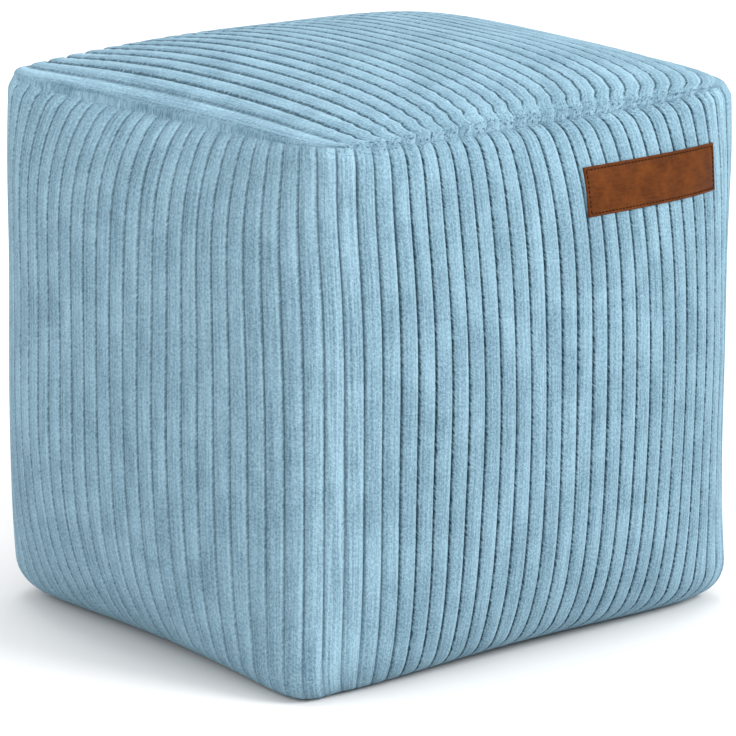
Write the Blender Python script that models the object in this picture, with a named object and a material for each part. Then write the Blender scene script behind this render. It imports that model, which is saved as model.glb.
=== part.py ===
"""Bean bag footstool: a filled cube of wide-rib corduroy with a leather label sewn to its front.

The cover is one filled solid. Its wall is a stack of rings, each a blend of three closed
sections: the flat base, the fullest girth and the sewn edge under the top panel. The top panel
is a crowned patch stretched over the sewn edge. The label is a thin sheet of leather that
follows the wall. Metres, +Z up; the front faces -Y; the origin is under the middle of the base.
"""

from collections import namedtuple

import bmesh
import bpy
import numpy as np

# Driving dimensions, metres.
SEAM_HEIGHT_MIDDLE = 0.3608     # the sewn top edge at the middle of a side
SEAM_HEIGHT_CORNER = 0.3648     # the sewn top edge at a corner
CROWN_RISE = 0.0362             # how far the top panel stands above its sewn edge
BASE_EASE = 0.0394              # height over which the tuck-in at the base fades
HEM_RADIUS_MIDDLE = 0.0197      # the lower edge rolls under: radius at the middle of a side
HEM_RADIUS_CORNER = 0.0346      # and at a corner
SEAM_EASE = 0.0359              # height over which the pull-in at the top seam fades
SEAM_EASE_POWER = 0.96
SEAM_CHANNEL_DEPTH = 0.003      # the furrow that the top seam pulls into the wall
SEAM_CHANNEL_WIDTH = 0.005

LABEL_WIDTH = 0.125
LABEL_HEIGHT = 0.032
LABEL_THICKNESS = 0.0018
LABEL_CENTRE_X = 0.083
LABEL_CENTRE_Z = 0.3145
LABEL_GAP = 0.0005              # air between the label and the cloth

# The three sections, looking down. half_x and half_y are half widths; squareness is the power
# of the rounded square, 2 being an ellipse; corner_reach stretches the corners outwards or,
# below zero, trims them; skew_x and skew_y pull neighbouring corners opposite ways.
Section = namedtuple("Section", "half_x half_y squareness corner_reach skew_x skew_y")
BASE_SECTION = Section(0.1816, 0.1525, 14.0, 0.104, -0.0092, -0.0078)
FULL_SECTION = Section(0.2233, 0.1940, 4.7, -0.088, 0.0089, 0.0013)
SEAM_SECTION = Section(0.1876, 0.1672, 10.1, 0.048, 0.0056, -0.0025)

# The skin's weave is a little out of step between the three levels, in sides of the cube.
BASE_TWIST = 0.014
SEAM_TWIST = -0.032

# Crown of the top panel: flat in the middle, rolling down to the seam.
CROWN_FLATNESS = 2.43
CROWN_ROLL = 0.59

# Mesh density.
COLUMNS_PER_SIDE = 24
WALL_ROWS = 22
OUTLINE_SAMPLES = 400
ROW_CROWDING = 0.7              # how much closer the wall's rings stand at its two ends
LABEL_COLUMNS = 16
LABEL_ROWS = 5
SLOPE_STEP = 0.002              # distance over which the wall's slope is read

# Colours, linear, and roughness.
CORDUROY_COLOUR = (0.27, 0.45, 0.56)
CORDUROY_ROUGHNESS = 0.95
LEATHER_COLOUR = (0.16, 0.048, 0.016)
LEATHER_ROUGHNESS = 0.5

SIDES = 4


def outline(section, along):
    """Points of a section at `along`, an array counted in sides: 0 is the middle of the
    front, 1 the middle of the right side, 2 the back, 3 the left. Equal steps of `along` are
    equal lengths of cloth. One quarter of the rounded square is measured and then mirrored."""
    angle = np.linspace(0.0, np.pi / 2, OUTLINE_SAMPLES)
    quarter_x = section.half_x * np.sin(angle) ** (2 / section.squareness)
    quarter_y = section.half_y * np.cos(angle) ** (2 / section.squareness)
    steps = np.hypot(np.diff(quarter_x), np.diff(quarter_y))
    length = np.concatenate([[0.0], np.cumsum(steps)])
    length /= length[-1]

    turn = np.mod(along, SIDES)
    quarter = np.floor(turn).astype(int)
    part = np.where(quarter % 2 == 0, turn - quarter, 1 - (turn - quarter))
    x = np.interp(part, length, quarter_x)
    y = np.interp(part, length, quarter_y)
    reach = 1 + section.corner_reach * (x / section.half_x) ** 2 * (y / section.half_y) ** 2
    sign_x = np.where(quarter < 2, 1, -1)
    sign_y = np.where((quarter == 0) | (quarter == 3), -1, 1)
    corner = sign_x * sign_y * x * y / (section.half_x * section.half_y)
    return np.stack(
        [
            sign_x * x * reach + section.skew_x * corner,
            sign_y * y * reach + section.skew_y * corner,
        ],
        axis=-1,
    )


def seam_height(along):
    """Height of the sewn top edge: lowest at the middle of a side, rising to its corners."""
    from_middle = np.abs(np.mod(along + 0.5, 1.0) * 2 - 1)
    return SEAM_HEIGHT_MIDDLE + (SEAM_HEIGHT_CORNER - SEAM_HEIGHT_MIDDLE) * from_middle**3


def roll_under(along, height):
    """How far the lower edge has rolled in at a height: a quarter circle on the floor."""
    from_middle = np.abs(np.mod(along + 0.5, 1.0) * 2 - 1)
    radius = HEM_RADIUS_MIDDLE + (HEM_RADIUS_CORNER - HEM_RADIUS_MIDDLE) * from_middle**4
    left_over = np.maximum(radius - height, 0.0)
    return radius - np.sqrt(radius**2 - left_over**2)


def wall(along, rise):
    """Points of the side wall. `rise` runs from 0 on the floor to 1 at the sewn top edge.
    Each level blends the full section with the base section near the floor and with the seam
    section near the top; the furrow of the seam and the rolled lower edge are then pulled
    straight in."""
    top = seam_height(along)
    height = rise * top
    near_base = np.exp(-height / BASE_EASE)
    near_seam = np.exp(-((np.maximum(top - height, 0.0) / SEAM_EASE) ** SEAM_EASE_POWER))
    near_full = 1 - near_base - near_seam
    plan = (
        near_base[..., None] * outline(BASE_SECTION, along + BASE_TWIST)
        + near_full[..., None] * outline(FULL_SECTION, along)
        + near_seam[..., None] * outline(SEAM_SECTION, along + SEAM_TWIST)
    )
    furrow = SEAM_CHANNEL_DEPTH * np.exp(-(((top - height) / SEAM_CHANNEL_WIDTH) ** 2))
    pulled_in = furrow + roll_under(along, height)
    plan *= 1 - (pulled_in / np.linalg.norm(plan, axis=-1))[..., None]
    return np.concatenate([plan, height[..., None]], axis=-1)


def row_levels():
    """Heights of the wall's rings, from 0 to 1, closer together where the wall curves most."""
    even = np.linspace(0.0, 1.0, WALL_ROWS + 1)
    return even - ROW_CROWDING * np.sin(2 * np.pi * even) / (2 * np.pi)


def top_panel(seam):
    """Points of the top panel on a square grid whose rim is the sewn edge `seam`, which
    starts at the front left corner. Straight lines join opposite edges, and the crown is
    added to them: a power of the distance from the rim, so that it rolls over at the seam."""
    n = COLUMNS_PER_SIDE
    front = seam[: n + 1]
    right = seam[n : 2 * n + 1]
    back = seam[2 * n : 3 * n + 1][::-1]
    left = np.concatenate([seam[3 * n :], seam[:1]])[::-1]
    across = np.linspace(0.0, 1.0, n + 1)[:, None, None]
    deep = np.linspace(0.0, 1.0, n + 1)[None, :, None]
    grid = (
        (1 - deep) * front[:, None]
        + deep * back[:, None]
        + (1 - across) * left[None, :]
        + across * right[None, :]
        - (1 - across) * (1 - deep) * front[0]
        - across * (1 - deep) * front[-1]
        - (1 - across) * deep * back[0]
        - across * deep * back[-1]
    )
    rim_x = 1 - np.abs(2 * across[..., 0] - 1) ** CROWN_FLATNESS
    rim_y = 1 - np.abs(2 * deep[..., 0] - 1) ** CROWN_FLATNESS
    grid[..., 2] += CROWN_RISE * (rim_x * rim_y) ** CROWN_ROLL
    return grid


def principled(name, colour, roughness):
    """A plain material: a Principled BSDF with one colour and one roughness."""
    material = bpy.data.materials.new(name)
    material.use_nodes = True
    shader = material.node_tree.nodes["Principled BSDF"]
    shader.inputs["Base Color"].default_value = (*colour, 1.0)
    shader.inputs["Roughness"].default_value = roughness
    shader.inputs["Metallic"].default_value = 0.0
    return material


def add_object(name, form, material):
    """Put a finished bmesh into the scene as a smooth object with its own material."""
    mesh = bpy.data.meshes.new(name)
    form.to_mesh(mesh)
    form.free()
    mesh.materials.append(material)
    mesh.shade_smooth()
    placed = bpy.data.objects.new(name, mesh)
    bpy.context.scene.collection.objects.link(placed)
    return placed


def build_filled_cube():
    """The filled cover: rings of the wall, the flat base and the crowned top panel."""
    count = SIDES * COLUMNS_PER_SIDE
    along = np.arange(count) / COLUMNS_PER_SIDE - 0.5
    levels = row_levels()
    form = bmesh.new()
    rings = []
    for level in levels:
        points = wall(along, np.full(count, level))
        rings.append([form.verts.new(point) for point in points])
    for lower, upper in zip(rings, rings[1:]):
        for i in range(count):
            j = (i + 1) % count
            form.faces.new((lower[i], lower[j], upper[j], upper[i]))
    form.faces.new(list(reversed(rings[0])))

    n = COLUMNS_PER_SIDE
    seam = rings[-1]
    panel = top_panel(wall(along, np.ones(count)))
    grid = [[None] * (n + 1) for _ in range(n + 1)]
    for k in range(n):
        grid[k][0] = seam[k]
        grid[n][k] = seam[n + k]
        grid[n - k][n] = seam[2 * n + k]
        grid[0][n - k] = seam[3 * n + k]
    for i in range(1, n):
        for j in range(1, n):
            grid[i][j] = form.verts.new(panel[i, j])
    for i in range(n):
        for j in range(n):
            form.faces.new((grid[i][j], grid[i + 1][j], grid[i + 1][j + 1], grid[i][j + 1]))
    bmesh.ops.recalc_face_normals(form, faces=form.faces)
    cloth = principled("blue_corduroy", CORDUROY_COLOUR, CORDUROY_ROUGHNESS)
    return add_object("filled_cube", form, cloth)


def front_depth(x, z):
    """Y of the front wall at given x and z: the wall's row at that height, read across."""
    along = np.linspace(-0.5, 0.5, OUTLINE_SAMPLES)
    row = wall(along, z / seam_height(along))
    return np.interp(x, row[:, 0], row[:, 1])


def build_label():
    """The leather label: a sheet laid on the front wall, thickened outwards."""
    inner = bmesh.new()
    grid = []
    for i in range(LABEL_COLUMNS + 1):
        column = []
        for j in range(LABEL_ROWS + 1):
            x = LABEL_CENTRE_X + LABEL_WIDTH * (i / LABEL_COLUMNS - 0.5)
            z = LABEL_CENTRE_Z + LABEL_HEIGHT * (j / LABEL_ROWS - 0.5)
            y = front_depth(x, z)
            slope_x = (front_depth(x + SLOPE_STEP, z) - y) / SLOPE_STEP
            slope_z = (front_depth(x, z + SLOPE_STEP) - y) / SLOPE_STEP
            normal = np.array([slope_x, -1.0, slope_z])
            normal /= np.linalg.norm(normal)
            column.append(inner.verts.new(np.array([x, y, z]) + LABEL_GAP * normal))
        grid.append(column)
    for i in range(LABEL_COLUMNS):
        for j in range(LABEL_ROWS):
            inner.faces.new((grid[i][j], grid[i + 1][j], grid[i + 1][j + 1], grid[i][j + 1]))
    leather = principled("brown_leather", LEATHER_COLOUR, LEATHER_ROUGHNESS)
    label = add_object("label", inner, leather)
    skin = label.modifiers.new("thickness", "SOLIDIFY")
    skin.thickness = LABEL_THICKNESS
    skin.offset = 1.0
    return label


def main():
    for old in list(bpy.data.objects):
        bpy.data.objects.remove(old, do_unlink=True)
    build_filled_cube()
    build_label()


main()
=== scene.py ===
import math
from collections import namedtuple

import bpy
import numpy as np
from mathutils import Matrix, Vector


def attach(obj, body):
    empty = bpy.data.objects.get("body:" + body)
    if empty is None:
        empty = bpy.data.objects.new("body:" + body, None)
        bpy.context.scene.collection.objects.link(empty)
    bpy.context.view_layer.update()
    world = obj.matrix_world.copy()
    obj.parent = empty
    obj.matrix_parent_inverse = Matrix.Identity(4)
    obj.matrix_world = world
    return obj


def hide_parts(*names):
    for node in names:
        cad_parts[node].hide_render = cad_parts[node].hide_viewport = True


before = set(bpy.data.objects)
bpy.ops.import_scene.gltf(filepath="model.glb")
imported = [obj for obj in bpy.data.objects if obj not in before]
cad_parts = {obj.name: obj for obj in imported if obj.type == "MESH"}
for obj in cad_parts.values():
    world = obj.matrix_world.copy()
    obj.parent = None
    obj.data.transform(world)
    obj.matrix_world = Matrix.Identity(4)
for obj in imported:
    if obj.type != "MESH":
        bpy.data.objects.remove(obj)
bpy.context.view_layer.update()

bl_info = {
    "name": "Corduroy cube footstool",
    "version": (1, 0, 0),
    "blender": (4, 5, 0),
    "location": "View3D > Sidebar > Footstool",
    "description": "Builds the corduroy cover, the stitched leather label and a studio floor",
    "category": "Add Mesh",
}

ROOT = "root"
SIDES = 4

# The three sections of the filled cover, looking down, as the frame has them.
Section = namedtuple("Section", "half_x half_y squareness corner_reach skew_x skew_y")
BASE_SECTION = Section(0.1816, 0.1525, 14.0, 0.104, -0.0092, -0.0078)
FULL_SECTION = Section(0.2233, 0.1940, 4.7, -0.088, 0.0089, 0.0013)
SEAM_SECTION = Section(0.1876, 0.1672, 10.1, 0.048, 0.0056, -0.0025)
BASE_TWIST = 0.014
SEAM_TWIST = -0.032
SEAM_HEIGHT_MIDDLE = 0.3608
SEAM_HEIGHT_CORNER = 0.3648
CROWN_RISE = 0.0362
CROWN_FLATNESS = 2.43
CROWN_ROLL = 0.59
BASE_EASE = 0.0394
HEM_RADIUS_MIDDLE = 0.0197
HEM_RADIUS_CORNER = 0.0346
SEAM_EASE = 0.0359
SEAM_EASE_POWER = 0.96
SEAM_CHANNEL_DEPTH = 0.003
SEAM_CHANNEL_WIDTH = 0.005
OUTLINE_SAMPLES = 400

# The cords. Eight columns of the mesh make one cord: a column in the groove, close ones on
# its flanks and wide ones over the crown.
CORDS_ROUND = 107
CORD_STEPS = np.array([0.0, 0.06, 0.14, 0.32, 0.5, 0.68, 0.86, 0.94])
FIRST_GROOVE = -0.4877
COLUMNS_PER_SIDE = CORDS_ROUND * len(CORD_STEPS) // SIDES
WALL_ROWS = 60
ROW_CROWDING = 0.86
TOP_GROOVE_SHARE = 0.5

# Under the seam the cords lean: how far, in sides, and how far down that is strongest.
CORD_LEAN = 0.012
LEAN_LENGTH = 0.050

# How far the grooves show between the cords, by place round the wall, in sides: the share sets
# both how deep they sink and how strongly their painted shade shows.
OPEN_PLACES = (0.0, 0.42, 0.5, 0.6, 1.4, 2.5, 2.7, 3.3, 3.5, 3.57, 3.68, 4.0)
OPEN_SHARES = (1.0, 1.0, 0.6, 0.8, 0.8, 0.7, 0.62, 0.6, 0.45, 0.55, 1.0, 1.0)

# The label, as the frame has it.
LABEL_WIDTH = 0.125
LABEL_HEIGHT = 0.032
LABEL_CENTRE_X = 0.083
LABEL_CENTRE_Z = 0.3145


# ---------------------------------------------------------------- surfaces


def outline(section, along):
    """Points of a section at `along`, counted in sides: 0 is the middle of the front, 1 of
    the right side. A quarter of a rounded square, x = half_x * sin(a) ** (2 / p) and
    y = half_y * cos(a) ** (2 / p), is read off by length and mirrored into the others."""
    angle = np.linspace(0.0, np.pi / 2, OUTLINE_SAMPLES)
    quarter_x = section.half_x * np.sin(angle) ** (2 / section.squareness)
    quarter_y = section.half_y * np.cos(angle) ** (2 / section.squareness)
    steps = np.hypot(np.diff(quarter_x), np.diff(quarter_y))
    length = np.concatenate([[0.0], np.cumsum(steps)])
    length /= length[-1]
    turn = np.mod(along, SIDES)
    quarter = np.floor(turn).astype(int)
    part = np.where(quarter % 2 == 0, turn - quarter, 1 - (turn - quarter))
    x = np.interp(part, length, quarter_x)
    y = np.interp(part, length, quarter_y)
    reach = 1 + section.corner_reach * (x / section.half_x) ** 2 * (y / section.half_y) ** 2
    sign_x = np.where(quarter < 2, 1, -1)
    sign_y = np.where((quarter == 0) | (quarter == 3), -1, 1)
    corner = sign_x * sign_y * x * y / (section.half_x * section.half_y)
    return np.stack(
        [
            sign_x * x * reach + section.skew_x * corner,
            sign_y * y * reach + section.skew_y * corner,
        ],
        axis=-1,
    )


def seam_height(along):
    """Height of the sewn top edge: middle height plus a cubic rise towards each corner."""
    from_middle = np.abs(np.mod(along + 0.5, 1.0) * 2 - 1)
    return SEAM_HEIGHT_MIDDLE + (SEAM_HEIGHT_CORNER - SEAM_HEIGHT_MIDDLE) * from_middle**3


def roll_under(along, height):
    """How far the lower edge has rolled in at a height: a quarter circle on the floor."""
    from_middle = np.abs(np.mod(along + 0.5, 1.0) * 2 - 1)
    radius = HEM_RADIUS_MIDDLE + (HEM_RADIUS_CORNER - HEM_RADIUS_MIDDLE) * from_middle**4
    left_over = np.maximum(radius - height, 0.0)
    return radius - np.sqrt(radius**2 - left_over**2)


def wall(along, rise):
    """Points of the side wall for `rise` from 0 on the floor to 1 at the seam: the full
    section, blended by falling exponentials with the base section near the floor and the
    seam section near the top, with a bell-shaped furrow pulled in along the seam."""
    top = seam_height(along)
    height = rise * top
    near_base = np.exp(-height / BASE_EASE)
    near_seam = np.exp(-((np.maximum(top - height, 0.0) / SEAM_EASE) ** SEAM_EASE_POWER))
    near_full = 1 - near_base - near_seam
    plan = (
        near_base[..., None] * outline(BASE_SECTION, along + BASE_TWIST)
        + near_full[..., None] * outline(FULL_SECTION, along)
        + near_seam[..., None] * outline(SEAM_SECTION, along + SEAM_TWIST)
    )
    furrow = SEAM_CHANNEL_DEPTH * np.exp(-(((top - height) / SEAM_CHANNEL_WIDTH) ** 2))
    pulled_in = furrow + roll_under(along, height)
    plan = plan * (1 - (pulled_in / np.linalg.norm(plan, axis=-1))[..., None])
    return np.concatenate([plan, height[..., None]], axis=-1)


def top_panel(seam):
    """Points of the top panel: straight lines join opposite stretches of the sewn edge, and
    a crown is added, a power of the distance from the rim, so that it rolls over there."""
    n = COLUMNS_PER_SIDE
    front = seam[: n + 1]
    right = seam[n : 2 * n + 1]
    back = seam[2 * n : 3 * n + 1][::-1]
    left = np.concatenate([seam[3 * n :], seam[:1]])[::-1]
    across = np.linspace(0.0, 1.0, n + 1)[:, None, None]
    deep = np.linspace(0.0, 1.0, n + 1)[None, :, None]
    grid = (
        (1 - deep) * front[:, None]
        + deep * back[:, None]
        + (1 - across) * left[None, :]
        + across * right[None, :]
        - (1 - across) * (1 - deep) * front[0]
        - across * (1 - deep) * front[-1]
        - (1 - across) * deep * back[0]
        - across * deep * back[-1]
    )
    rim_x = 1 - np.abs(2 * across[..., 0] - 1) ** CROWN_FLATNESS
    rim_y = 1 - np.abs(2 * deep[..., 0] - 1) ** CROWN_FLATNESS
    grid[..., 2] += CROWN_RISE * (rim_x * rim_y) ** CROWN_ROLL
    return grid


def normals_of(points, first, second):
    """Unit normals of a grid of points: the cross product of the steps along two axes."""
    normal = np.cross(first, second)
    return normal / np.maximum(np.linalg.norm(normal, axis=-1, keepdims=True), 1e-12)


def undulation(points, wavelength, seed):
    """Gentle unevenness between -1 and 1: the mean of a few sine waves of about the given
    wavelength, each in its own seeded direction."""
    draw = np.random.default_rng(seed)
    waves = 7
    heading = draw.normal(size=(waves, 3))
    heading /= np.linalg.norm(heading, axis=1, keepdims=True)
    stretch = draw.uniform(0.7, 1.5, size=waves)
    phase = draw.uniform(0.0, 2 * np.pi, size=waves)
    turns = points @ (heading * stretch[:, None]).T * (2 * np.pi / wavelength) + phase
    return np.sin(turns).mean(axis=-1)


def cord_profile(phase):
    """Height of a cord's surface, 0 on its crown and -1 in the groove: a high even power of
    the distance from the crown, plus a little of its square."""
    out = np.abs(2 * phase - 1)
    return -(0.86 * out**12 + 0.14 * out**2)


def smooth_step(low, high, value):
    """0 below `low`, 1 above `high` and an S curve between."""
    share = np.clip((value - low) / (high - low), 0.0, 1.0)
    return share * share * (3 - 2 * share)


def length_along(points, axis):
    """Length run along one axis of a grid of points, from 0 at its start."""
    steps = np.linalg.norm(np.diff(points, axis=axis), axis=-1)
    start = np.zeros_like(np.take(steps, [0], axis=axis))
    return np.concatenate([start, np.cumsum(steps, axis=axis)], axis=axis)


def add_mesh(name, vertices, faces, uv=None, masks=None):
    """Put arrays of points and faces into the scene as one smooth object at the origin, with
    a map of its cords and named values at its points where they are given."""
    mesh = bpy.data.meshes.new(name)
    mesh.from_pydata(vertices, [], faces)
    if uv is not None:
        layer = mesh.uv_layers.new(name="cord")
        layer.uv.foreach_set("vector", np.asarray(uv, dtype=np.float32).ravel())
    for key, values in (masks or {}).items():
        mask = mesh.attributes.new(key, "FLOAT", "POINT")
        mask.data.foreach_set("value", np.asarray(values, dtype=np.float32))
    mesh.shade_smooth()
    piece = bpy.data.objects.new(name, mesh)
    bpy.context.scene.collection.objects.link(piece)
    return piece


# ---------------------------------------------------------------- the cover


def cord_columns():
    """Where each column of the cover lies along the wall, with its cord number and phase."""
    cord, step = np.divmod(np.arange(SIDES * COLUMNS_PER_SIDE), len(CORD_STEPS))
    phase = CORD_STEPS[step]
    along = FIRST_GROOVE + (cord + phase) * SIDES / CORDS_ROUND
    return along, cord, phase


def crosses_seam(along):
    """1 where the top panel's cords run into the seam, at the front and the back, and 0
    where they run beside it, at the left and the right."""
    from_front = np.abs(np.mod(along + 1.0, 2.0) - 1.0)
    return 1 - smooth_step(0.47, 0.53, from_front)


def cover_wall(props):
    """The side wall with its cords. Along each column's normal the surface sinks by the cord
    profile; the ends of the cords round off under the seam like fingertips."""
    along, cord, phase = cord_columns()
    even = np.linspace(0.0, 1.0, WALL_ROWS + 1)
    rise = even - ROW_CROWDING * np.sin(2 * np.pi * even) / (2 * np.pi)
    along_grid, rise_grid = np.meshgrid(along, rise)
    drift = 0.0012 * np.sin(rise_grid * 7.0 + cord * 0.61) * np.sin(np.pi * rise_grid)
    below_share = seam_height(along_grid) * (1 - rise_grid) / LEAN_LENGTH
    lean = -CORD_LEAN * (below_share * np.exp(1 - below_share)) ** 2
    points = wall(along_grid + drift + lean, rise_grid)
    step_along = np.roll(points, -1, axis=1) - np.roll(points, 1, axis=1)
    normal = normals_of(points, step_along, np.gradient(points, axis=0))
    below_seam = seam_height(along_grid) * (1 - rise_grid)
    tip = 1 - np.clip(below_seam / props.fingertip, 0.0, 1.0)
    crown = 1 - (1 - np.sqrt(1 - tip**2)) * (0.35 + 0.65 * crosses_seam(along_grid))
    depth = props.groove_depth * (1 + 0.15 * undulation(points, 0.05, 3))
    depth = depth * (0.3 + 0.7 * smooth_step(0.0, 0.05, points[..., 2]))
    opened = np.interp(np.mod(along_grid, SIDES), OPEN_PLACES, OPEN_SHARES)
    depth = depth * (0.5 + 0.5 * opened)
    sink = depth * (crown * (1 + cord_profile(phase)) - 1)
    calm = smooth_step(0.0, 0.05, below_seam) * smooth_step(0.0, 0.04, points[..., 2])
    sink = sink + props.unevenness * calm * undulation(points, 0.16, 11)
    # From here the share, sent out as groove_open, sets how strongly the painted groove shade shows:
    # weaker near the floor where the share is low, none right at the seam.
    closing = 1 - smooth_step(0.02, 0.16, points[..., 2])
    opened = opened * (1 - 1.6 * np.maximum(0.8 - opened, 0.0) * closing)
    opened = opened * smooth_step(0.0, 0.0035, below_seam)
    from_corner = np.abs(np.mod(along_grid, 1.0) - 0.5)
    parted = np.exp(-((from_corner / 0.05) ** 2))
    sewn = np.exp(-((below_seam / 0.005) ** 2)) * crosses_seam(along_grid)
    return points + normal * sink[..., None], points[-1], opened, parted, sewn


def cover_top(props, seam):
    """The top panel with its cords, which run from the front seam to the back one. The
    grooves close a little before they reach those seams, each at its own distance."""
    points = top_panel(seam)
    _, cord, phase = cord_columns()
    n = COLUMNS_PER_SIDE
    cord = cord[: n + 1][:, None]
    phase = phase[: n + 1][:, None]
    normal = normals_of(points, np.gradient(points, axis=0), np.gradient(points, axis=1))
    length = np.linalg.norm(seam[n] - seam[2 * n])
    deep = np.linspace(0.0, 1.0, n + 1)[None, :]
    from_end = length * np.minimum(deep, 1 - deep)
    across = np.linspace(0.0, 1.0, n + 1)[:, None]
    from_edge = length * np.minimum(across, 1 - across)
    draw = np.random.default_rng(5).uniform(0.0, 1.0, size=CORDS_ROUND)
    close = 0.0015 + 0.006 * draw[np.minimum(cord, CORDS_ROUND - 1)]
    opened = smooth_step(close, close + 0.004, from_end)
    edge_fade = smooth_step(0.004, 0.02, from_edge)
    profile = cord_profile(phase) * (0.25 + 0.75 * opened) * (0.3 + 0.7 * edge_fade)
    inside = smooth_step(0.0, 0.004, from_end) * (0.6 + 0.4 * smooth_step(0.0, 0.004, from_edge))
    depth = TOP_GROOVE_SHARE * props.groove_depth * (1 + 0.15 * undulation(points, 0.05, 4))
    sink = depth * (inside * (1 + profile) - 1) * smooth_step(-0.001, 0.001, from_end)
    calm = smooth_step(0.0, 0.06, np.minimum(from_end, from_edge))
    sink = sink + props.unevenness * calm * undulation(points, 0.16, 11)
    sewn = np.broadcast_to(np.exp(-((from_end / 0.007) ** 2)), opened.shape)
    return points + normal * sink[..., None], 0.8 * opened * edge_fade, sewn


def cord_map(wall_points, panel, base_corners):
    """The cover's map, a place for every corner of its faces: cords counted across, metres
    run along them. The base, which has no cords, takes the middle of one."""
    n = COLUMNS_PER_SIDE
    count = SIDES * n
    _, cord, phase = cord_columns()
    counted = np.append(cord + phase, float(CORDS_ROUND))
    height = length_along(wall_points, 0)
    left_u = np.broadcast_to(counted[:-1], (WALL_ROWS, count))
    right_u = np.broadcast_to(counted[1:], (WALL_ROWS, count))
    low_v = height[:-1]
    high_v = height[1:]
    wall_uv = np.stack(
        [
            np.stack([left_u, low_v], -1),
            np.stack([right_u, np.roll(low_v, -1, axis=1)], -1),
            np.stack([right_u, np.roll(high_v, -1, axis=1)], -1),
            np.stack([left_u, high_v], -1),
        ],
        axis=2,
    ).reshape(-1, 2)
    across_u = np.broadcast_to(counted[: n + 1, None], (n + 1, n + 1))
    deep_v = 1.0 + length_along(panel, 1)
    top_map = np.stack([across_u, deep_v], -1)
    top_uv = np.stack(
        [top_map[:-1, :-1], top_map[1:, :-1], top_map[1:, 1:], top_map[:-1, 1:]], axis=2
    ).reshape(-1, 2)
    base_uv = np.zeros((base_corners, 2))
    base_uv[:, 0] = 0.5
    return np.concatenate([wall_uv, top_uv, base_uv])


def build_cover(props):
    """One closed mesh: the wall's rings, the top panel welded to the last ring, and the
    base, two rings drawn in from the first ring and a flat middle."""
    n = COLUMNS_PER_SIDE
    count = SIDES * n
    wall_points, seam, wall_open, wall_parted, wall_sewn = cover_wall(props)
    panel, top_open, top_sewn = cover_top(props, seam)

    ring = np.arange(count)
    after = np.roll(ring, -1)
    row = np.arange(WALL_ROWS)[:, None] * count
    wall_faces = np.stack(
        [row + ring, row + after, row + count + after, row + count + ring], axis=-1
    ).reshape(-1, 4)

    top_index = np.zeros((n + 1, n + 1), dtype=int)
    inner_start = (WALL_ROWS + 1) * count
    top_index[1:n, 1:n] = inner_start + np.arange((n - 1) ** 2).reshape(n - 1, n - 1)
    seam_index = WALL_ROWS * count + ring
    k = np.arange(n)
    top_index[k, 0] = seam_index[k]
    top_index[n, k] = seam_index[n + k]
    top_index[n - k, n] = seam_index[2 * n + k]
    top_index[0, n - k] = seam_index[3 * n + k]
    top_faces = np.stack(
        [top_index[:-1, :-1], top_index[1:, :-1], top_index[1:, 1:], top_index[:-1, 1:]],
        axis=-1,
    ).reshape(-1, 4)

    base_start = inner_start + (n - 1) ** 2
    base_rings = []
    base_faces = []
    outer = ring
    for number, share in enumerate((0.985, 0.9)):
        drawn_in = wall_points[0] * np.array([share, share, 1.0])
        drawn_in[:, 2] = 0.0
        base_rings.append(drawn_in)
        inner = base_start + number * count + ring
        base_faces.append(np.stack([outer, inner, np.roll(inner, -1), np.roll(outer, -1)], axis=-1))
        outer = inner
    vertices = np.concatenate(
        [wall_points.reshape(-1, 3), panel[1:n, 1:n].reshape(-1, 3), *base_rings]
    )
    quads = np.concatenate([wall_faces, top_faces, *base_faces])
    faces = quads.tolist() + [outer[::-1].tolist()]
    uv = cord_map(wall_points, panel, len(base_faces) * count * 4 + count)
    inner_points = (n - 1) ** 2
    masks = {
        # groove_open sets how strongly the dark groove colour, partly painted shade, shows.
        "groove_open": np.concatenate(
            [wall_open.ravel(), top_open[1:n, 1:n].ravel(), np.zeros(2 * count)]
        ),
        "pile_parted": np.concatenate(
            [wall_parted.ravel(), np.zeros(inner_points), np.zeros(2 * count)]
        ),
        # sewn_in marks the seams, where the painted shade of puckers lies.
        "sewn_in": np.concatenate(
            [wall_sewn.ravel(), top_sewn[1:n, 1:n].ravel(), np.zeros(2 * count)]
        ),
    }
    return add_mesh("cord_cover", vertices, faces, uv, masks)


# ---------------------------------------------------------------- the label


def front_depth(x, z):
    """Y of the smooth front wall at given x and z."""
    along = np.linspace(-0.5, 0.5, OUTLINE_SAMPLES)
    flat_x = np.ravel(x)
    flat_z = np.ravel(z)
    depth = np.empty(flat_x.shape)
    for height in np.unique(flat_z):
        row = wall(along, height / seam_height(along))
        chosen = flat_z == height
        depth[chosen] = np.interp(flat_x[chosen], row[:, 0], row[:, 1])
    return depth.reshape(np.shape(x))


def on_front(x, z, lift):
    """Points standing `lift` off the smooth front wall along its normal."""
    step = 0.002
    y = front_depth(x, z)
    slope_x = (front_depth(x + step, z) - y) / step
    slope_z = (front_depth(x, z + step) - y) / step
    normal = np.stack([slope_x, -np.ones_like(y), slope_z], axis=-1)
    normal /= np.linalg.norm(normal, axis=-1, keepdims=True)
    return np.stack([x, y, z], axis=-1) + normal * np.asarray(lift)[..., None]


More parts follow.
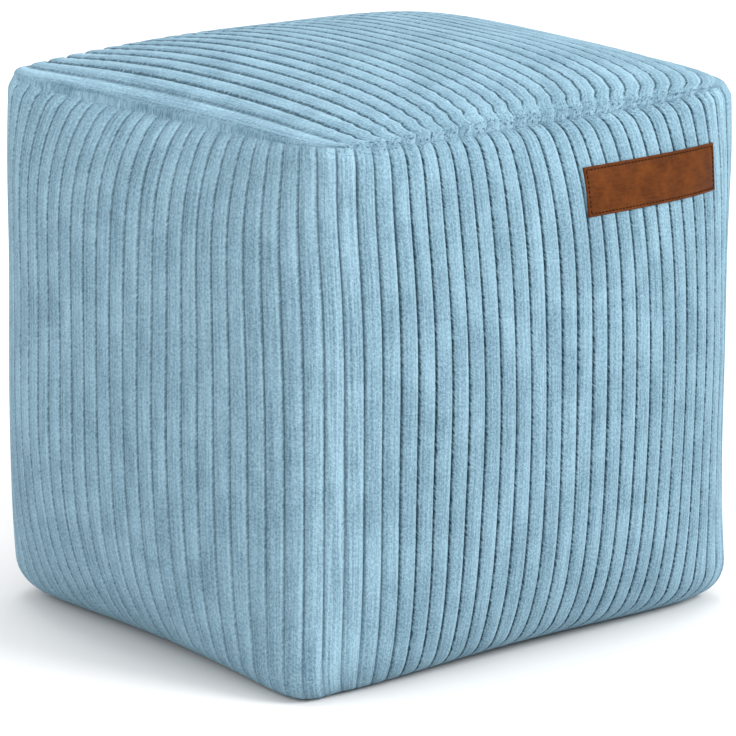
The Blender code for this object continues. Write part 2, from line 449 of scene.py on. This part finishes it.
def build_label(props):
    """The leather sheet: a closed cushion of two grids, front and back, that meet at the
    cut edge. The front sinks along the stitch line and rolls off at the edge."""
    columns = 100
    rows = 28
    u = np.linspace(-1.0, 1.0, columns + 1)
    v = np.linspace(-1.0, 1.0, rows + 1)
    u = np.sin(u * 1.25) / math.sin(1.25)
    v = np.sin(v * 1.25) / math.sin(1.25)
    grid_u, grid_v = np.meshgrid(u, v, indexing="ij")
    x = LABEL_CENTRE_X + grid_u * LABEL_WIDTH / 2
    z = LABEL_CENTRE_Z + grid_v * LABEL_HEIGHT / 2
    from_edge = np.minimum(
        (1 - np.abs(grid_u)) * LABEL_WIDTH / 2, (1 - np.abs(grid_v)) * LABEL_HEIGHT / 2
    )
    thickness = props.label_thickness
    roll = np.sqrt(1 - (1 - np.clip(from_edge / 0.0009, 0.0, 1.0)) ** 2)
    stitched = np.exp(-(((from_edge - props.stitch_inset) / 0.0009) ** 2))
    flat = np.stack([x, np.zeros_like(x), z], axis=-1)
    puff = 0.00025 * smooth_step(0.002, 0.008, from_edge)
    uneven = 0.00012 * undulation(flat, 0.03, 21)
    front = on_front(x, z, thickness * (0.45 + 0.55 * roll) - 0.0006 * stitched + puff + uneven)
    back = on_front(x, z, np.full_like(x, 0.0002))
    count = (columns + 1) * (rows + 1)
    index = np.arange(count).reshape(columns + 1, rows + 1)
    front_faces = np.stack([index[:-1, :-1], index[1:, :-1], index[1:, 1:], index[:-1, 1:]], -1)
    back_faces = count + front_faces[..., ::-1]
    rim = np.concatenate([index[:-1, 0], index[-1, :-1], index[:0:-1, -1], index[0, :0:-1]])
    after = np.roll(rim, -1)
    rim_faces = np.stack([rim, rim + count, after + count, after], -1)
    faces = np.concatenate(
        [front_faces.reshape(-1, 4), back_faces.reshape(-1, 4), rim_faces]
    ).tolist()
    vertices = np.concatenate([front.reshape(-1, 3), back.reshape(-1, 3)])
    return add_mesh("leather_label", vertices, faces)


def build_stitching(props):
    """Thread round the label: a row of short stitches, each a thread bent down at its ends.
    A stitch is rings of six points round a line that rises and falls as half a sine."""
    half_x = LABEL_WIDTH / 2 - props.stitch_inset
    half_z = LABEL_HEIGHT / 2 - props.stitch_inset
    pitch = props.stitch_length * 1.3
    vertices = []
    faces = []
    rings = 7
    around = 6
    t = np.linspace(0.0, 1.0, rings)
    turn = np.linspace(0.0, 2 * np.pi, around, endpoint=False)
    sides = (
        (-half_x, -half_z, half_x, -half_z),
        (half_x, -half_z, half_x, half_z),
        (half_x, half_z, -half_x, half_z),
        (-half_x, half_z, -half_x, -half_z),
    )
    for x0, z0, x1, z1 in sides:
        length = math.hypot(x1 - x0, z1 - z0)
        stitches = round(length / pitch)
        for number in range(stitches):
            share = (number + 0.5 + (t - 0.5) / 1.3) / stitches
            x = LABEL_CENTRE_X + x0 + (x1 - x0) * share
            z = LABEL_CENTRE_Z + z0 + (z1 - z0) * share
            lift = props.label_thickness * 0.62 + 0.0004 * np.sin(np.pi * t)
            line = on_front(x, z, lift)
            forward = np.gradient(line, axis=0)
            forward /= np.linalg.norm(forward, axis=1, keepdims=True)
            out = on_front(x, z, lift + 0.001) - line
            out /= np.linalg.norm(out, axis=1, keepdims=True)
            beside = np.cross(forward, out)
            radius = 0.00042 * np.sqrt(np.maximum(np.sin(np.pi * (0.06 + 0.88 * t)), 0.05))
            ring = (
                line[:, None]
                + radius[:, None, None] * np.cos(turn)[None, :, None] * out[:, None]
                + radius[:, None, None] * np.sin(turn)[None, :, None] * beside[:, None]
            )
            start = len(vertices) * rings * around
            vertices.append(ring.reshape(-1, 3))
            index = start + np.arange(rings * around).reshape(rings, around)
            nxt = np.roll(index, -1, axis=1)
            body = np.stack([index[:-1], nxt[:-1], nxt[1:], index[1:]], -1).reshape(-1, 4)
            faces += body.tolist()
            faces.append(index[0, ::-1].tolist())
            faces.append(index[-1].tolist())
    return add_mesh("label_stitching", np.concatenate(vertices), faces)


# ---------------------------------------------------------------- node tools


def group_socket(group, name, direction, kind, default=None):
    """Add one named socket to a node group."""
    socket = group.interface.new_socket(name=name, in_out=direction, socket_type=kind)
    if default is not None:
        socket.default_value = default
    return socket


class Nodes:
    """Short calls for placing and joining nodes in one tree."""

    def __init__(self, tree):
        self.tree = tree
        self.placed = 0

    def add(self, kind, **settings):
        node = self.tree.nodes.new(kind)
        node.location = (180 * (self.placed % 8), -220 * (self.placed // 8))
        self.placed += 1
        for key, value in settings.items():
            setattr(node, key, value)
        return node

    def put(self, socket, value):
        if isinstance(value, bpy.types.NodeSocket):
            self.tree.links.new(value, socket)
        else:
            socket.default_value = value

    def math(self, operation, first, second=0.0, clamp=False):
        node = self.add("ShaderNodeMath", operation=operation, use_clamp=clamp)
        self.put(node.inputs[0], first)
        self.put(node.inputs[1], second)
        return node.outputs[0]

    def spread(self, value, low, high, to_low=0.0, to_high=1.0):
        node = self.add("ShaderNodeMapRange", interpolation_type="SMOOTHSTEP")
        self.put(node.inputs["Value"], value)
        self.put(node.inputs["From Min"], low)
        self.put(node.inputs["From Max"], high)
        self.put(node.inputs["To Min"], to_low)
        self.put(node.inputs["To Max"], to_high)
        return node.outputs[0]

    def noise(self, vector, scale, detail=2.0, roughness=0.5, distortion=0.0):
        node = self.add("ShaderNodeTexNoise")
        self.put(node.inputs["Vector"], vector)
        self.put(node.inputs["Scale"], scale)
        self.put(node.inputs["Detail"], detail)
        self.put(node.inputs["Roughness"], roughness)
        self.put(node.inputs["Distortion"], distortion)
        return node.outputs["Fac"]

    def stretch(self, vector, scale):
        node = self.add("ShaderNodeVectorMath", operation="MULTIPLY")
        self.put(node.inputs[0], vector)
        self.put(node.inputs[1], scale)
        return node.outputs[0]

    def mix(self, share, first, second, blend="MIX"):
        node = self.add("ShaderNodeMix", data_type="RGBA", blend_type=blend)
        self.put(node.inputs[0], share)
        self.put(node.inputs[6], first)
        self.put(node.inputs[7], second)
        return node.outputs[2]


def cord_pile_group():
    """Corduroy pile on a map that counts cords across and metres along: the ragged groove
    between cords, whose dark colour is partly the ground cloth and partly painted shade,
    painted shade in puckers along the seams, streaks along each cord, grains of pile,
    painted shade and highlight across each cord, and patches where it is brushed."""
    group = bpy.data.node_groups.new("cord_pile", "ShaderNodeTree")
    group_socket(group, "Cord Map", "INPUT", "NodeSocketVector")
    group_socket(group, "Position", "INPUT", "NodeSocketVector")
    group_socket(group, "Groove Width", "INPUT", "NodeSocketFloat", 0.2)
    group_socket(group, "Groove Open", "INPUT", "NodeSocketFloat", 1.0)
    group_socket(group, "Sewn In", "INPUT", "NodeSocketFloat", 0.0)
    for name in ("Groove", "Streaks", "Grain", "Painted Cord Shading", "Patches", "Height"):
        group_socket(group, name, "OUTPUT", "NodeSocketFloat")
    nodes = Nodes(group)
    entry = nodes.add("NodeGroupInput")
    leave = nodes.add("NodeGroupOutput")
    cord_map = entry.outputs["Cord Map"]
    position = entry.outputs["Position"]
    split = nodes.add("ShaderNodeSeparateXYZ")
    nodes.put(split.inputs[0], cord_map)

    wander = nodes.noise(nodes.stretch(cord_map, (1.0, 150.0, 0.0)), 1.0, 1.0)
    ragged = nodes.noise(nodes.stretch(cord_map, (3.0, 560.0, 0.0)), 1.0, 1.0)
    jitter = nodes.math("ADD", nodes.math("MULTIPLY", nodes.math("SUBTRACT", wander, 0.5), 0.09),
                        nodes.math("MULTIPLY", nodes.math("SUBTRACT", ragged, 0.5), 0.15))
    phase = nodes.math("FRACT", nodes.math("ADD", split.outputs[0], jitter))
    out = nodes.math("ABSOLUTE", nodes.math("SUBTRACT", nodes.math("MULTIPLY", phase, 2.0), 1.0))
    inner = nodes.math("SUBTRACT", 1.0, entry.outputs["Groove Width"])
    # The groove mask lays the dark groove colour between the cords, partly the ground cloth and partly
    # painted shade in the recess; pits break it into dotted dark spots, and Groove Open sets its
    # strength.
    groove = nodes.spread(out, inner, 0.96)
    pits = nodes.spread(nodes.noise(nodes.stretch(cord_map, (2.0, 330.0, 0.0)), 1.0, 2.0),
                        0.32, 0.55, 0.45, 1.0)
    groove = nodes.math("MULTIPLY", nodes.math("MULTIPLY", groove, pits),
                        entry.outputs["Groove Open"])
    # Painted shade in small puckers where the cords are sewn into the seams: dark spots in the groove
    # colour.
    pucker_shade = nodes.spread(nodes.noise(nodes.stretch(cord_map, (4.5, 600.0, 0.0)), 1.0, 1.0),
                           0.57, 0.66)
    pucker_shade = nodes.math("MULTIPLY", pucker_shade, entry.outputs["Sewn In"])
    groove = nodes.math("MAXIMUM", groove, nodes.math("MULTIPLY", pucker_shade, 0.7))

    fine = nodes.noise(nodes.stretch(cord_map, (7.0, 14.0, 0.0)), 1.0, 2.0, 0.6)
    streaks = nodes.spread(fine, 0.32, 0.68)
    coarse = nodes.noise(nodes.stretch(cord_map, (7.5, 480.0, 0.0)), 1.0, 1.0)
    tiny = nodes.noise(nodes.stretch(cord_map, (15.0, 1050.0, 0.0)), 1.0, 1.0)
    grain = nodes.spread(nodes.math("ADD", nodes.math("MULTIPLY", coarse, 0.55),
                                    nodes.math("MULTIPLY", tiny, 0.45)), 0.32, 0.68)
    # Painted shade and highlight across each cord: dark just after a groove, lighter towards the next
    # one, with a painted highlight band just before it.
    lean = nodes.math("ADD", nodes.math("MULTIPLY", nodes.spread(phase, 0.05, 0.9), 0.65),
                      nodes.math("MULTIPLY", nodes.spread(phase, 0.74, 0.86), 0.35))

    broad = nodes.noise(position, 26.0, 2.0, 0.55, 0.6)
    small = nodes.noise(position, 75.0, 2.0, 0.5, 0.4)
    own = nodes.add("ShaderNodeCombineXYZ")
    nodes.put(own.inputs[0], nodes.math("MULTIPLY", nodes.math("FLOOR", split.outputs[0]), 7.31))
    nodes.put(own.inputs[1], nodes.math("MULTIPLY", split.outputs[1], 24.0))
    per_cord = nodes.noise(own.outputs[0], 1.0, 2.0)
    patches = nodes.math("ADD", nodes.math("MULTIPLY", broad, 0.45),
                         nodes.math("MULTIPLY", small, 0.25))
    patches = nodes.math("ADD", patches, nodes.math("MULTIPLY", per_cord, 0.30))
    patches = nodes.spread(patches, 0.37, 0.63)

    height = nodes.math("ADD", nodes.math("MULTIPLY", grain, 0.6),
                        nodes.math("MULTIPLY", streaks, 0.4))
    for name, value in (("Groove", groove), ("Streaks", streaks), ("Grain", grain),
                        ("Painted Cord Shading", lean), ("Patches", patches), ("Height", height)):
        nodes.put(leave.inputs[name], value)
    return group


def new_material(name):
    material = bpy.data.materials.new(name)
    material.use_nodes = True
    nodes = Nodes(material.node_tree)
    return material, nodes, material.node_tree.nodes["Principled BSDF"]


def corduroy(props):
    """Blue corduroy: the pile's colour goes from dark to light by patch, grain and streak, and by
    painted shade and highlight across each cord; it falls to a dark colour in the grooves,
    partly the ground cloth's and partly painted shade; the pile has a soft sheen."""
    material, nodes, shader = new_material("blue_corduroy_pile")
    cord_map = nodes.add("ShaderNodeUVMap", uv_map="cord")
    place = nodes.add("ShaderNodeTexCoord")
    groove_open = nodes.add("ShaderNodeAttribute", attribute_name="groove_open")
    parted = nodes.add("ShaderNodeAttribute", attribute_name="pile_parted")
    sewn_in = nodes.add("ShaderNodeAttribute", attribute_name="sewn_in")
    pile = nodes.add("ShaderNodeGroup", node_tree=cord_pile_group())
    nodes.put(pile.inputs["Cord Map"], cord_map.outputs[0])
    nodes.put(pile.inputs["Position"], place.outputs["Object"])
    nodes.put(pile.inputs["Groove Open"], groove_open.outputs["Fac"])
    nodes.put(pile.inputs["Sewn In"], sewn_in.outputs["Fac"])
    pile.inputs["Groove Width"].default_value = 0.22
    # The pile's colour blends from dark to light by its own streaks, grain and patches, and by the
    # painted shade and highlight across each cord.
    streak_share = nodes.math("ADD", nodes.math("MULTIPLY", parted.outputs["Fac"], 0.22), 0.26)
    blend = nodes.math("MULTIPLY", pile.outputs["Streaks"], streak_share)
    for name, share in (("Patches", 0.22), ("Grain", 0.44), ("Painted Cord Shading", 0.26)):
        blend = nodes.math("ADD", blend, nodes.math("MULTIPLY", pile.outputs[name], share))
    colour = nodes.mix(nodes.math("MULTIPLY", blend, 1.0, clamp=True),
                       (*props.pile_dark, 1.0), (*props.pile_light, 1.0))
    colour = nodes.mix(pile.outputs["Groove"], colour, (*props.groove_cloth_and_shade_colour, 1.0))
    nodes.put(shader.inputs["Base Color"], colour)
    shader.inputs["Roughness"].default_value = 0.92
    shader.inputs["Specular IOR Level"].default_value = 0.15
    shader.inputs["Sheen Weight"].default_value = 0.15
    shader.inputs["Sheen Roughness"].default_value = 0.45
    shader.inputs["Sheen Tint"].default_value = (0.55, 0.8, 1.0, 1.0)
    bump = nodes.add("ShaderNodeBump")
    bump.inputs["Strength"].default_value = 0.8
    bump.inputs["Distance"].default_value = 0.0008
    nodes.put(bump.inputs["Height"], pile.outputs["Height"])
    nodes.put(shader.inputs["Normal"], bump.outputs[0])
    return material


def leather(props):
    """Brown leather: cloudy colour and a fine pebbled grain."""
    material, nodes, shader = new_material("tan_leather")
    place = nodes.add("ShaderNodeTexCoord")
    position = place.outputs["Object"]
    cloud = nodes.noise(position, 70.0, 3.0, 0.6, 0.5)
    scuff = nodes.noise(nodes.stretch(position, (1.0, 1.0, 4.0)), 160.0, 2.0)
    tone = nodes.spread(nodes.math("ADD", nodes.math("MULTIPLY", cloud, 0.7),
                                   nodes.math("MULTIPLY", scuff, 0.3)), 0.25, 0.75)
    colour = nodes.mix(tone, (*props.leather_dark, 1.0), (*props.leather_light, 1.0))
    nodes.put(shader.inputs["Base Color"], colour)
    nodes.put(shader.inputs["Roughness"], nodes.spread(cloud, 0.3, 0.7, 0.42, 0.58))
    shader.inputs["Specular IOR Level"].default_value = 0.06
    pebble = nodes.add("ShaderNodeTexVoronoi")
    nodes.put(pebble.inputs["Vector"], position)
    pebble.inputs["Scale"].default_value = 1500.0
    wrinkle = nodes.noise(position, 420.0, 3.0, 0.6)
    grain = nodes.math("ADD", pebble.outputs["Distance"], wrinkle)
    bump = nodes.add("ShaderNodeBump")
    bump.inputs["Strength"].default_value = 0.35
    bump.inputs["Distance"].default_value = 0.0003
    nodes.put(bump.inputs["Height"], grain)
    nodes.put(shader.inputs["Normal"], bump.outputs[0])
    return material


def thread_material(props):
    """Stitching thread: dark brown, with a twisted ply as fine bands."""
    material, nodes, shader = new_material("dark_thread")
    place = nodes.add("ShaderNodeTexCoord")
    ply = nodes.noise(place.outputs["Object"], 2500.0, 1.0)
    colour = nodes.mix(ply, (*props.thread_colour, 1.0), (0.030, 0.012, 0.006, 1.0))
    nodes.put(shader.inputs["Base Color"], colour)
    shader.inputs["Roughness"].default_value = 0.9
    shader.inputs["Specular IOR Level"].default_value = 0.05
    bump = nodes.add("ShaderNodeBump")
    bump.inputs["Strength"].default_value = 0.4
    bump.inputs["Distance"].default_value = 0.0002
    nodes.put(bump.inputs["Height"], ply)
    nodes.put(shader.inputs["Normal"], bump.outputs[0])
    return material


def studio_paper():
    """Plain pale studio floor that glows faintly away from the middle, as a lit sweep does."""
    material, nodes, shader = new_material("pale_paper")
    place = nodes.add("ShaderNodeTexCoord")
    faint = nodes.noise(place.outputs["Object"], 3.0, 1.0)
    nodes.put(shader.inputs["Base Color"],
              nodes.mix(faint, (0.72, 0.72, 0.72, 1.0), (0.74, 0.74, 0.74, 1.0)))
    shader.inputs["Roughness"].default_value = 0.9
    shader.inputs["Specular IOR Level"].default_value = 0.1
    reach = nodes.add("ShaderNodeVectorMath", operation="LENGTH")
    nodes.put(reach.inputs[0], place.outputs["Object"])
    far = nodes.spread(reach.outputs["Value"], 0.45, 1.6)
    nodes.put(shader.inputs["Emission Color"],
              nodes.mix(far, (0.0, 0.0, 0.0, 1.0), (0.32, 0.32, 0.32, 1.0)))
    shader.inputs["Emission Strength"].default_value = 1.0
    return material


# ---------------------------------------------------------------- settings


def length_property(name, description, default):
    return bpy.props.FloatProperty(
        name=name, description=description, default=default, min=0.0, unit="LENGTH", precision=5
    )


def colour_property(name, description, default):
    return bpy.props.FloatVectorProperty(
        name=name, description=description, default=default, size=3, subtype="COLOR",
        min=0.0, max=1.0
    )


class FootstoolCoverSettings(bpy.types.PropertyGroup):
    """Sizes and colours of the corduroy cover."""

    groove_depth: length_property("Groove depth", "Depth of the grooves between cords", 0.0030)
    fingertip: length_property("Cord end", "Length over which a cord's end rounds off", 0.006)
    unevenness: length_property("Unevenness", "Height of the filling's gentle lumps", 0.0016)
    # The light and dark pile colours are the two ends of one blend: the cloth's own streaks, grain and
    # patches, and painted shade and highlight across each cord.
    pile_light: colour_property("Pile, light", "Pile brushed towards the light", (0.262, 0.412, 0.502))
    pile_dark: colour_property("Pile, dark", "Pile brushed away from the light", (0.046, 0.107, 0.152))
    # The groove colour is partly the ground cloth's own colour and partly painted shade, far darker
    # than the darkest pile.
    groove_cloth_and_shade_colour: colour_property("Groove", "Ground cloth in the grooves", (0.004, 0.022, 0.038))


class FootstoolLabelSettings(bpy.types.PropertyGroup):
    """Sizes and colours of the leather label and its stitching."""

    label_thickness: length_property("Leather thickness", "Thickness of the label", 0.0018)
    stitch_inset: length_property("Stitch inset", "Stitch line's distance from the edge", 0.0020)
    stitch_length: length_property("Stitch length", "Length of one stitch", 0.0024)
    leather_light: colour_property("Leather, light", "Rubbed leather", (0.118, 0.033, 0.0054))
    leather_dark: colour_property("Leather, dark", "Darker leather", (0.050, 0.0125, 0.0017))
    thread_colour: colour_property("Thread", "Stitching thread", (0.012, 0.005, 0.003))


class FootstoolStageSettings(bpy.types.PropertyGroup):
    """The studio: floor, light and camera."""

    floor_size: length_property("Floor size", "Length of the floor's sides", 30.0)
    sky_strength: bpy.props.FloatProperty(
        name="Sky strength", description="Brightness of the white surroundings", default=1.0
    )
    key_power: bpy.props.FloatProperty(
        name="Key light", description="Power of the main light", default=79.0, unit="POWER"
    )
    camera_distance: length_property("Camera distance", "From the object's middle", 3.345)
    camera_lens: bpy.props.FloatProperty(
        name="Lens", description="Focal length", default=240.56, unit="CAMERA"
    )


# ---------------------------------------------------------------- operators


def finish_piece(piece, material, node):
    """Give a piece its material and tie it to the frame."""
    piece.data.materials.append(material)
    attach(piece, ROOT)
    if node:
        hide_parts(node)


class FOOTSTOOL_OT_cover(bpy.types.Operator):
    """Build the filled corduroy cover"""

    bl_idname = "footstool.cover"
    bl_label = "Corduroy cover"

    def execute(self, context):
        props = context.scene.footstool_cover
        cover = build_cover(props)
        finish_piece(cover, corduroy(props), "filled_cube")
        return {"FINISHED"}


class FOOTSTOOL_OT_label(bpy.types.Operator):
    """Build the leather label and the stitching round it"""

    bl_idname = "footstool.label"
    bl_label = "Leather label"

    def execute(self, context):
        props = context.scene.footstool_label
        label = build_label(props)
        finish_piece(label, leather(props), "label")
        stitching = build_stitching(props)
        finish_piece(stitching, thread_material(props), None)
        return {"FINISHED"}


def area_light(name, position, aim, size, power):
    """A soft square light that looks at `aim`."""
    lamp = bpy.data.lights.new(name, "AREA")
    lamp.size = size
    lamp.energy = power
    light = bpy.data.objects.new(name, lamp)
    light.location = position
    light.rotation_euler = (Vector(aim) - Vector(position)).to_track_quat("-Z", "Y").to_euler()
    bpy.context.scene.collection.objects.link(light)
    return light


class FOOTSTOOL_OT_stage(bpy.types.Operator):
    """Build the floor, the lights and the camera"""

    bl_idname = "footstool.stage"
    bl_label = "Studio"

    def execute(self, context):
        props = context.scene.footstool_stage
        scene = context.scene
        half = props.floor_size / 2
        corners = [(-half, -half, 0), (half, -half, 0), (half, half, 0), (-half, half, 0)]
        floor = add_mesh("studio_floor", np.array(corners) - [0, 0, 0.0004], [[0, 1, 2, 3]])
        floor.data.materials.append(studio_paper())

        world = bpy.data.worlds.new("white_studio")
        world.use_nodes = True
        sky = world.node_tree.nodes["Background"]
        sky.inputs["Color"].default_value = (1.0, 1.0, 1.0, 1.0)
        sky.inputs["Strength"].default_value = props.sky_strength
        scene.world = world

        middle = (0.0, 0.0, 0.2)
        area_light("key_light", (1.0, -2.4, 1.9), middle, 1.2, props.key_power)
        area_light("side_light", (-2.4, -1.0, 1.5), middle, 1.6, props.key_power * 0.34)
        area_light("top_light", (0.1, 0.3, 2.5), middle, 1.5, props.key_power * 0.34)

        azimuth = math.radians(-40.248)
        elevation = math.radians(14.131)
        roll = math.radians(0.577)
        out = Vector((math.sin(azimuth) * math.cos(elevation),
                      -math.cos(azimuth) * math.cos(elevation), math.sin(elevation)))
        right = Vector((math.cos(azimuth), math.sin(azimuth), 0.0))
        up = out.cross(right)
        target = Vector(middle) - 0.0041 * right - 0.0355 * up
        lens = bpy.data.cameras.new("camera")
        lens.lens = props.camera_lens
        lens.sensor_width = 36.0
        lens.clip_end = 60.0
        camera = bpy.data.objects.new("camera", lens)
        turn = Matrix((right, up, out)).transposed().to_4x4() @ Matrix.Rotation(roll, 4, "Z")
        camera.matrix_world = Matrix.Translation(target + out * props.camera_distance) @ turn
        scene.collection.objects.link(camera)
        scene.camera = camera
        scene.view_settings.view_transform = "Standard"
        return {"FINISHED"}


class FOOTSTOOL_PT_panel(bpy.types.Panel):
    """The footstool's operators and settings"""

    bl_idname = "FOOTSTOOL_PT_panel"
    bl_label = "Footstool"
    bl_space_type = "VIEW_3D"
    bl_region_type = "UI"
    bl_category = "Footstool"

    def draw(self, context):
        layout = self.layout
        parts = (
            (context.scene.footstool_cover, FOOTSTOOL_OT_cover),
            (context.scene.footstool_label, FOOTSTOOL_OT_label),
            (context.scene.footstool_stage, FOOTSTOOL_OT_stage),
        )
        for settings, operator in parts:
            box = layout.box()
            for key in settings.__annotations__:
                box.prop(settings, key)
            box.operator(operator.bl_idname)


CLASSES = (
    FootstoolCoverSettings,
    FootstoolLabelSettings,
    FootstoolStageSettings,
    FOOTSTOOL_OT_cover,
    FOOTSTOOL_OT_label,
    FOOTSTOOL_OT_stage,
    FOOTSTOOL_PT_panel,
)


def register():
    for item in CLASSES:
        bpy.utils.register_class(item)
    scene_type = bpy.types.Scene
    scene_type.footstool_cover = bpy.props.PointerProperty(type=FootstoolCoverSettings)
    scene_type.footstool_label = bpy.props.PointerProperty(type=FootstoolLabelSettings)
    scene_type.footstool_stage = bpy.props.PointerProperty(type=FootstoolStageSettings)


def unregister():
    del bpy.types.Scene.footstool_stage
    del bpy.types.Scene.footstool_label
    del bpy.types.Scene.footstool_cover
    for item in reversed(CLASSES):
        bpy.utils.unregister_class(item)


def main():
    register()
    bpy.ops.footstool.cover()
    bpy.ops.footstool.label()
    bpy.ops.footstool.stage()


if __name__ == "__main__":
    main()
